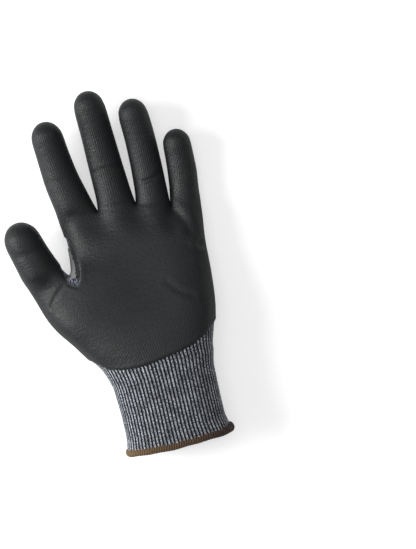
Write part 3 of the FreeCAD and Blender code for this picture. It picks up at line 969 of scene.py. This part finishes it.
def newMaterial(name, **plain):
    material = bpy.data.materials.new(name)
    material.use_nodes = True
    tree = material.node_tree
    shader = tree.nodes["Principled BSDF"]
    feed(tree, shader, {label.replace("_", " "): value for label, value in plain.items()})
    where = addNode(tree, "ShaderNodeTexCoord").outputs["Object"]
    mapped = addNode(tree, "ShaderNodeUVMap", uv_map="knitMap").outputs[0]
    return material, tree, shader, where, mapped


def bump(tree, height, distance, under=None):
    sockets = {"Height": height, "Distance": distance, "Strength": 1.0}
    if under is not None:
        sockets["Normal"] = under
    return feed(tree, addNode(tree, "ShaderNodeBump"), sockets).outputs[0]


def finished(material, tree, shader, colour, tone, roughness, normal):
    # roughness goes from the first to the second value as tone goes from 0 to 1
    rough = mapRange(tree, tone, 0.0, 1.0, *roughness)
    feed(tree, shader, {"Base Color": colour, "Roughness": rough, "Normal": normal})
    return material


def band(tree, value, low, high, soft):
    # 1 between low and high, falling to 0 over soft on each side
    rise = mapRange(tree, value, low - soft, low, interpolation_type="SMOOTHSTEP")
    fall = mapRange(tree, value, high + soft, high, interpolation_type="SMOOTHSTEP")
    return times(tree, rise, fall)


def makeKnitMaterial():
    material, tree, shader, where, mapped = newMaterial(
        "heatherKnit", Sheen_Weight=0.12, Sheen_Roughness=0.6, Specular_IOR_Level=0.2)
    stitches = groupNode(tree, stitchGroup, Map=mapped)
    heather = groupNode(tree, heatherGroup, Map=mapped, Dark_Share=0.43, Light=(0.46, 0.48, 0.54, 1))
    # painted shade: the colour darkens where the stitch height is low, between the loops
    loops = ramp(tree, stitches.outputs["Height"], [(0.0, (0.25, 0.26, 0.3)), (0.6, (1, 1, 1))])
    shade = mixed(tree, 1.0, heather.outputs["Color"], loops, blend_type="MULTIPLY")
    # painted shade: the yarn beside the index finger's edge of the crotch is darkened to near black, where
    # shade falls in the gap
    x, y, z = split(tree, where)
    paintedCrotchShade = times(tree, band(tree, x, -0.0268, -0.018, 0.0025), band(tree, y, 0.003, 0.034, 0.004))
    paintedCrotchShade = times(tree, paintedCrotchShade, band(tree, z, 0.014, 0.06, 0.004))
    crotchShadedKnit = mixed(tree, times(tree, paintedCrotchShade, 0.94), shade, (0.006, 0.0065, 0.007, 1))
    return finished(material, tree, shader, crotchShadedKnit, heather.outputs["Tone"], (0.7, 0.95),
                    bump(tree, stitches.outputs["Height"], 0.0004))


def makeRibMaterial():
    material, tree, shader, _, mapped = newMaterial(
        "ribbedHeather", Sheen_Weight=0.2, Sheen_Roughness=0.6, Specular_IOR_Level=0.2)
    turn = times(tree, split(tree, mapped)[0], math.pi)
    ridge = calc(tree, "ABSOLUTE", calc(tree, "SINE", turn))
    heather = groupNode(tree, heatherGroup, Map=scaled(tree, mapped, (1.5, 1.5, 1.0)),
                        Dark_Share=0.41, Dark=(0.03, 0.033, 0.048, 1),
                        Middle=(0.13, 0.141, 0.17, 1), Light=(0.62, 0.65, 0.70, 1))
    stitches = groupNode(tree, stitchGroup, Map=mapped)
    # painted shade: the furrows between the ribs are darkened to near black
    furrowShade = ramp(tree, ridge, [(0.58, (0.016, 0.018, 0.028)), (0.93, (1, 1, 1))])
    shade = mixed(tree, 1.0, heather.outputs["Color"], furrowShade, blend_type="MULTIPLY")
    return finished(material, tree, shader, shade, heather.outputs["Tone"], (0.75, 0.95),
                    bump(tree, stitches.outputs["Height"], 0.00025))


def makeFoamMaterial():
    material, tree, shader, where, mapped = newMaterial(
        "foamCoating", Sheen_Weight=0.04, Sheen_Roughness=0.45, Sheen_Tint=(0.75, 0.85, 0.95, 1),
        Specular_IOR_Level=0.30)
    foam = groupNode(tree, foamGroup, Place=where)
    # the knit's wales show through the foam on the fingers and at the heel
    lines = calc(tree, "SINE", times(tree, split(tree, mapped)[0], 2 * math.pi))
    x, y, _ = split(tree, where)
    onFingers = mapRange(tree, y, 0.030, 0.055)
    atHeel = mapRange(tree, y, -0.058, -0.030, 1.0, 0.0)
    show = plus(tree, plus(tree, onFingers, atHeel), 0.12)
    skin = bump(tree, foam.outputs["Height"], 0.00042)
    body = ramp(tree, foam.outputs["Mottle"],
                [(0.30, (0.0095, 0.0105, 0.0112)), (0.70, (0.0160, 0.0176, 0.0186))])
    # painted highlight: the foam is painted paler along the crotch's lip
    rim = addNode(tree, "ShaderNodeAttribute", attribute_name="edgeDistance")
    lipHighlight = mapRange(tree, rim.outputs["Fac"], 0.9, 0.2)
    nearCrotch = times(tree, band(tree, x, -0.042, -0.020, 0.004), band(tree, y, -0.004, 0.036, 0.004))
    lipHighlightedFoam = mixed(tree, times(tree, lipHighlight, nearCrotch), body, (0.075, 0.08, 0.082, 1))
    return finished(material, tree, shader, lipHighlightedFoam, foam.outputs["Mottle"], (0.38, 0.50),
                    bump(tree, times(tree, lines, show), 0.000042, skin))


def makePatchMaterial():
    material, tree, shader, where, _ = newMaterial("crotchPatch", Sheen_Weight=0.15, Specular_IOR_Level=0.3)
    foam = groupNode(tree, foamGroup, Place=where, Pore=1900.0)
    mottle = foam.outputs["Mottle"]
    grey = ramp(tree, mottle, [(0.3, (0.155, 0.165, 0.160)), (0.7, (0.235, 0.245, 0.240))])
    return finished(material, tree, shader, grey, mottle, (0.62, 0.8),
                    bump(tree, foam.outputs["Height"], 0.0003))


def makeHemMaterial():
    material, tree, shader, where, mapped = newMaterial(
        "overlockYarn", Sheen_Weight=0.2, Sheen_Roughness=0.5, Specular_IOR_Level=0.3)
    along, aroundTube, _ = split(tree, mapped)
    lean = plus(tree, along, times(tree, aroundTube, 1.6))
    thread = calc(tree, "ABSOLUTE", calc(tree, "SINE", times(tree, lean, math.pi)))
    # painted light: the thread is painted lighter at the left, where the key light falls, and darker towards
    # the right; the speckle is the yarn's own random tone
    across = mapRange(tree, split(tree, where)[0], -0.020, 0.046)
    speckle = times(tree, noise(tree, where, 240.0, 3.0, 0.6), 0.25)
    lightFallAndSpeckle = plus(tree, times(tree, across, 0.75), speckle)
    yarn = ramp(tree, lightFallAndSpeckle, [(0.10, (0.165, 0.098, 0.038)), (0.55, (0.085, 0.046, 0.022)),
                            (0.95, (0.036, 0.020, 0.014))])
    # painted shade: the colour darkens in the gaps between the threads
    threadGapShade = ramp(tree, thread, [(0.0, (0.35, 0.33, 0.32)), (0.55, (1, 1, 1))])
    shade = mixed(tree, 1.0, yarn, threadGapShade, blend_type="MULTIPLY")
    return finished(material, tree, shader, shade, lightFallAndSpeckle, (0.7, 0.85), bump(tree, thread, 0.0004))


def makeElasticMaterial():
    material, tree, shader, where, _ = newMaterial("elasticYarn", Specular_IOR_Level=0.3)
    turned = noise(tree, scaled(tree, where, (1.0, 6.0, 1.0)), 700.0, 2.0, 0.5)
    colour = ramp(tree, turned, [(0.35, (0.03, 0.032, 0.045)), (0.65, (0.10, 0.105, 0.13))])
    return finished(material, tree, shader, colour, turned, (0.6, 0.85), bump(tree, turned, 0.0002))


finish = {
    "knit": makeKnitMaterial(),
    "ribs": makeRibMaterial(),
    "foam": makeFoamMaterial(),
    "patch": makePatchMaterial(),
    "hem": makeHemMaterial(),
    "elastic": makeElasticMaterial(),
}
print("materials made")


def dress(piece, slot):
    piece.data.materials.clear()
    piece.data.materials.append(finish[slot])
    for face in piece.data.polygons:
        face.material_index = 0


# what each piece rides on
def bendWithFinger(piece, part):
    name, length = part.split("_")
    finger = fingers[name]
    lengths = stall["partNames"][len(finger["radius"])]
    n = lengths.index(length)
    points = fingerPoints(finger)
    way = (points[1] - points[0]).normalized()
    cuts = [points[0] - way * stall["rootBlend"]] + [(a + b) / 2 for a, b in zip(points, points[1:-1])]
    cuts.append(points[len(lengths) - 1] * 2 - cuts[-1])
    parent = "hand" if n == 0 else f"{name}_{lengths[n - 1]}_length"
    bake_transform(piece, parent, f"{part}_length", start=place(*cuts[n]), end=place(*cuts[n + 1]))


for part, piece in knitPieces.items():
    dress(piece, "knit")
    if part == "palm":
        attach(piece, "hand")
        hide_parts("upper_palm_knit", "lower_palm_knit")
    else:
        bendWithFinger(piece, part)
        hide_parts(f"{part}_knit")
for part, piece in coatPieces.items():
    dress(piece, "foam")
    if part == "palm":
        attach(piece, "hand")
        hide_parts("palm_coating")
    else:
        bendWithFinger(piece, part)
        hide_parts(f"{part}_coating", f"{part}_fold")
for part, piece in patchPieces.items():
    dress(piece, "patch")
    if part == "palm":
        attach(piece, "hand")
        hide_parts("thumb_crotch_patch")
    else:
        bendWithFinger(piece, part)
dress(cuffPiece, "ribs")
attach(cuffPiece, "hand")
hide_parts("ribbed_cuff")
dress(hemPiece, "hem")
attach(hemPiece, "hand")
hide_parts("cuff_hem")
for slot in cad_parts["cuff_elastic"].material_slots:
    slot.material = finish["elastic"]
print("pieces bound to their bodies")

# floor, light and camera
studio = {
    "floor": 3.0, "floorAt": -0.0002, "floorColour": (0.90, 0.90, 0.90, 1), "floorGlow": 0.48,
    "skyLight": 0.24,
    "lens": 100.0, "aim": (46.3, 109.3, 22.0), "distancePerLens": 0.01039, "clipEnd": 20,
    "right": (0.9703, -0.2419, 0.0), "up": (0.2419, 0.9703, 0.0),
}


def seenApart(tree, lit, seen, target):
    # the camera sees one shader, and the object is lit by the other
    fromCamera = addNode(tree, "ShaderNodeLightPath").outputs["Is Camera Ray"]
    mix = feed(tree, addNode(tree, "ShaderNodeMixShader"), {0: fromCamera, 1: lit, 2: seen})
    feed(tree, target, {"Surface": mix.outputs[0]})


def makeFloor():
    bpy.ops.mesh.primitive_plane_add(size=studio["floor"], location=(0, 0, studio["floorAt"]))
    floor = nameAndApply("floor")
    material = bpy.data.materials.new("paleFloor")
    material.use_nodes = True
    tree = material.node_tree
    shader = tree.nodes["Principled BSDF"]
    feed(tree, shader, {"Base Color": studio["floorColour"], "Roughness": 0.9, "Specular IOR Level": 0.1})
    glow = feed(tree, addNode(tree, "ShaderNodeEmission"), {"Strength": studio["floorGlow"]})
    both = feed(tree, addNode(tree, "ShaderNodeAddShader"), {0: shader.outputs[0], 1: glow.outputs[0]})
    seenApart(tree, shader.outputs[0], both.outputs[0], tree.nodes["Material Output"])
    floor.data.materials.append(material)


def areaLight(name, spot, size, energy, aim=(0, 0, 0.02)):
    lamp = bpy.data.lights.new(name, "AREA")
    lamp.shape = "DISK"
    lamp.size = size
    lamp.energy = energy
    made = bpy.data.objects.new(name, lamp)
    made.location = spot
    made.rotation_euler = (Vector(aim) - Vector(spot)).to_track_quat("-Z", "Y").to_euler()
    bpy.context.scene.collection.objects.link(made)


def makeWorld():
    world = bpy.data.worlds.new("studio")
    world.use_nodes = True
    tree = world.node_tree
    white = (1, 1, 1, 1)
    lit = feed(tree, tree.nodes["Background"], {"Color": white, "Strength": studio["skyLight"]})
    seen = feed(tree, addNode(tree, "ShaderNodeBackground"), {"Color": white})
    seenApart(tree, lit.outputs[0], seen.outputs[0], tree.nodes["World Output"])
    bpy.context.scene.world = world


def makeCamera():
    camera = bpy.data.objects.new("camera", bpy.data.cameras.new("camera"))
    bpy.context.scene.collection.objects.link(camera)
    camera.data.lens = studio["lens"]
    camera.data.clip_end = studio["clipEnd"]
    axes = (studio["right"], studio["up"], (0, 0, 1))
    spot = place(*studio["aim"]) + Vector((0, 0, studio["distancePerLens"] * studio["lens"]))
    camera.matrix_world = Matrix.Translation(spot) @ Matrix(axes).transposed().to_4x4()
    bpy.context.scene.camera = camera


makeFloor()
areaLight("key", (-1.15, 0.25, 0.70), 0.8, 21)
areaLight("top", (0.1, 0.2, 1.5), 1.4, 6)
makeWorld()
makeCamera()
bpy.context.scene.view_settings.view_transform = "Standard"
print("studio set")
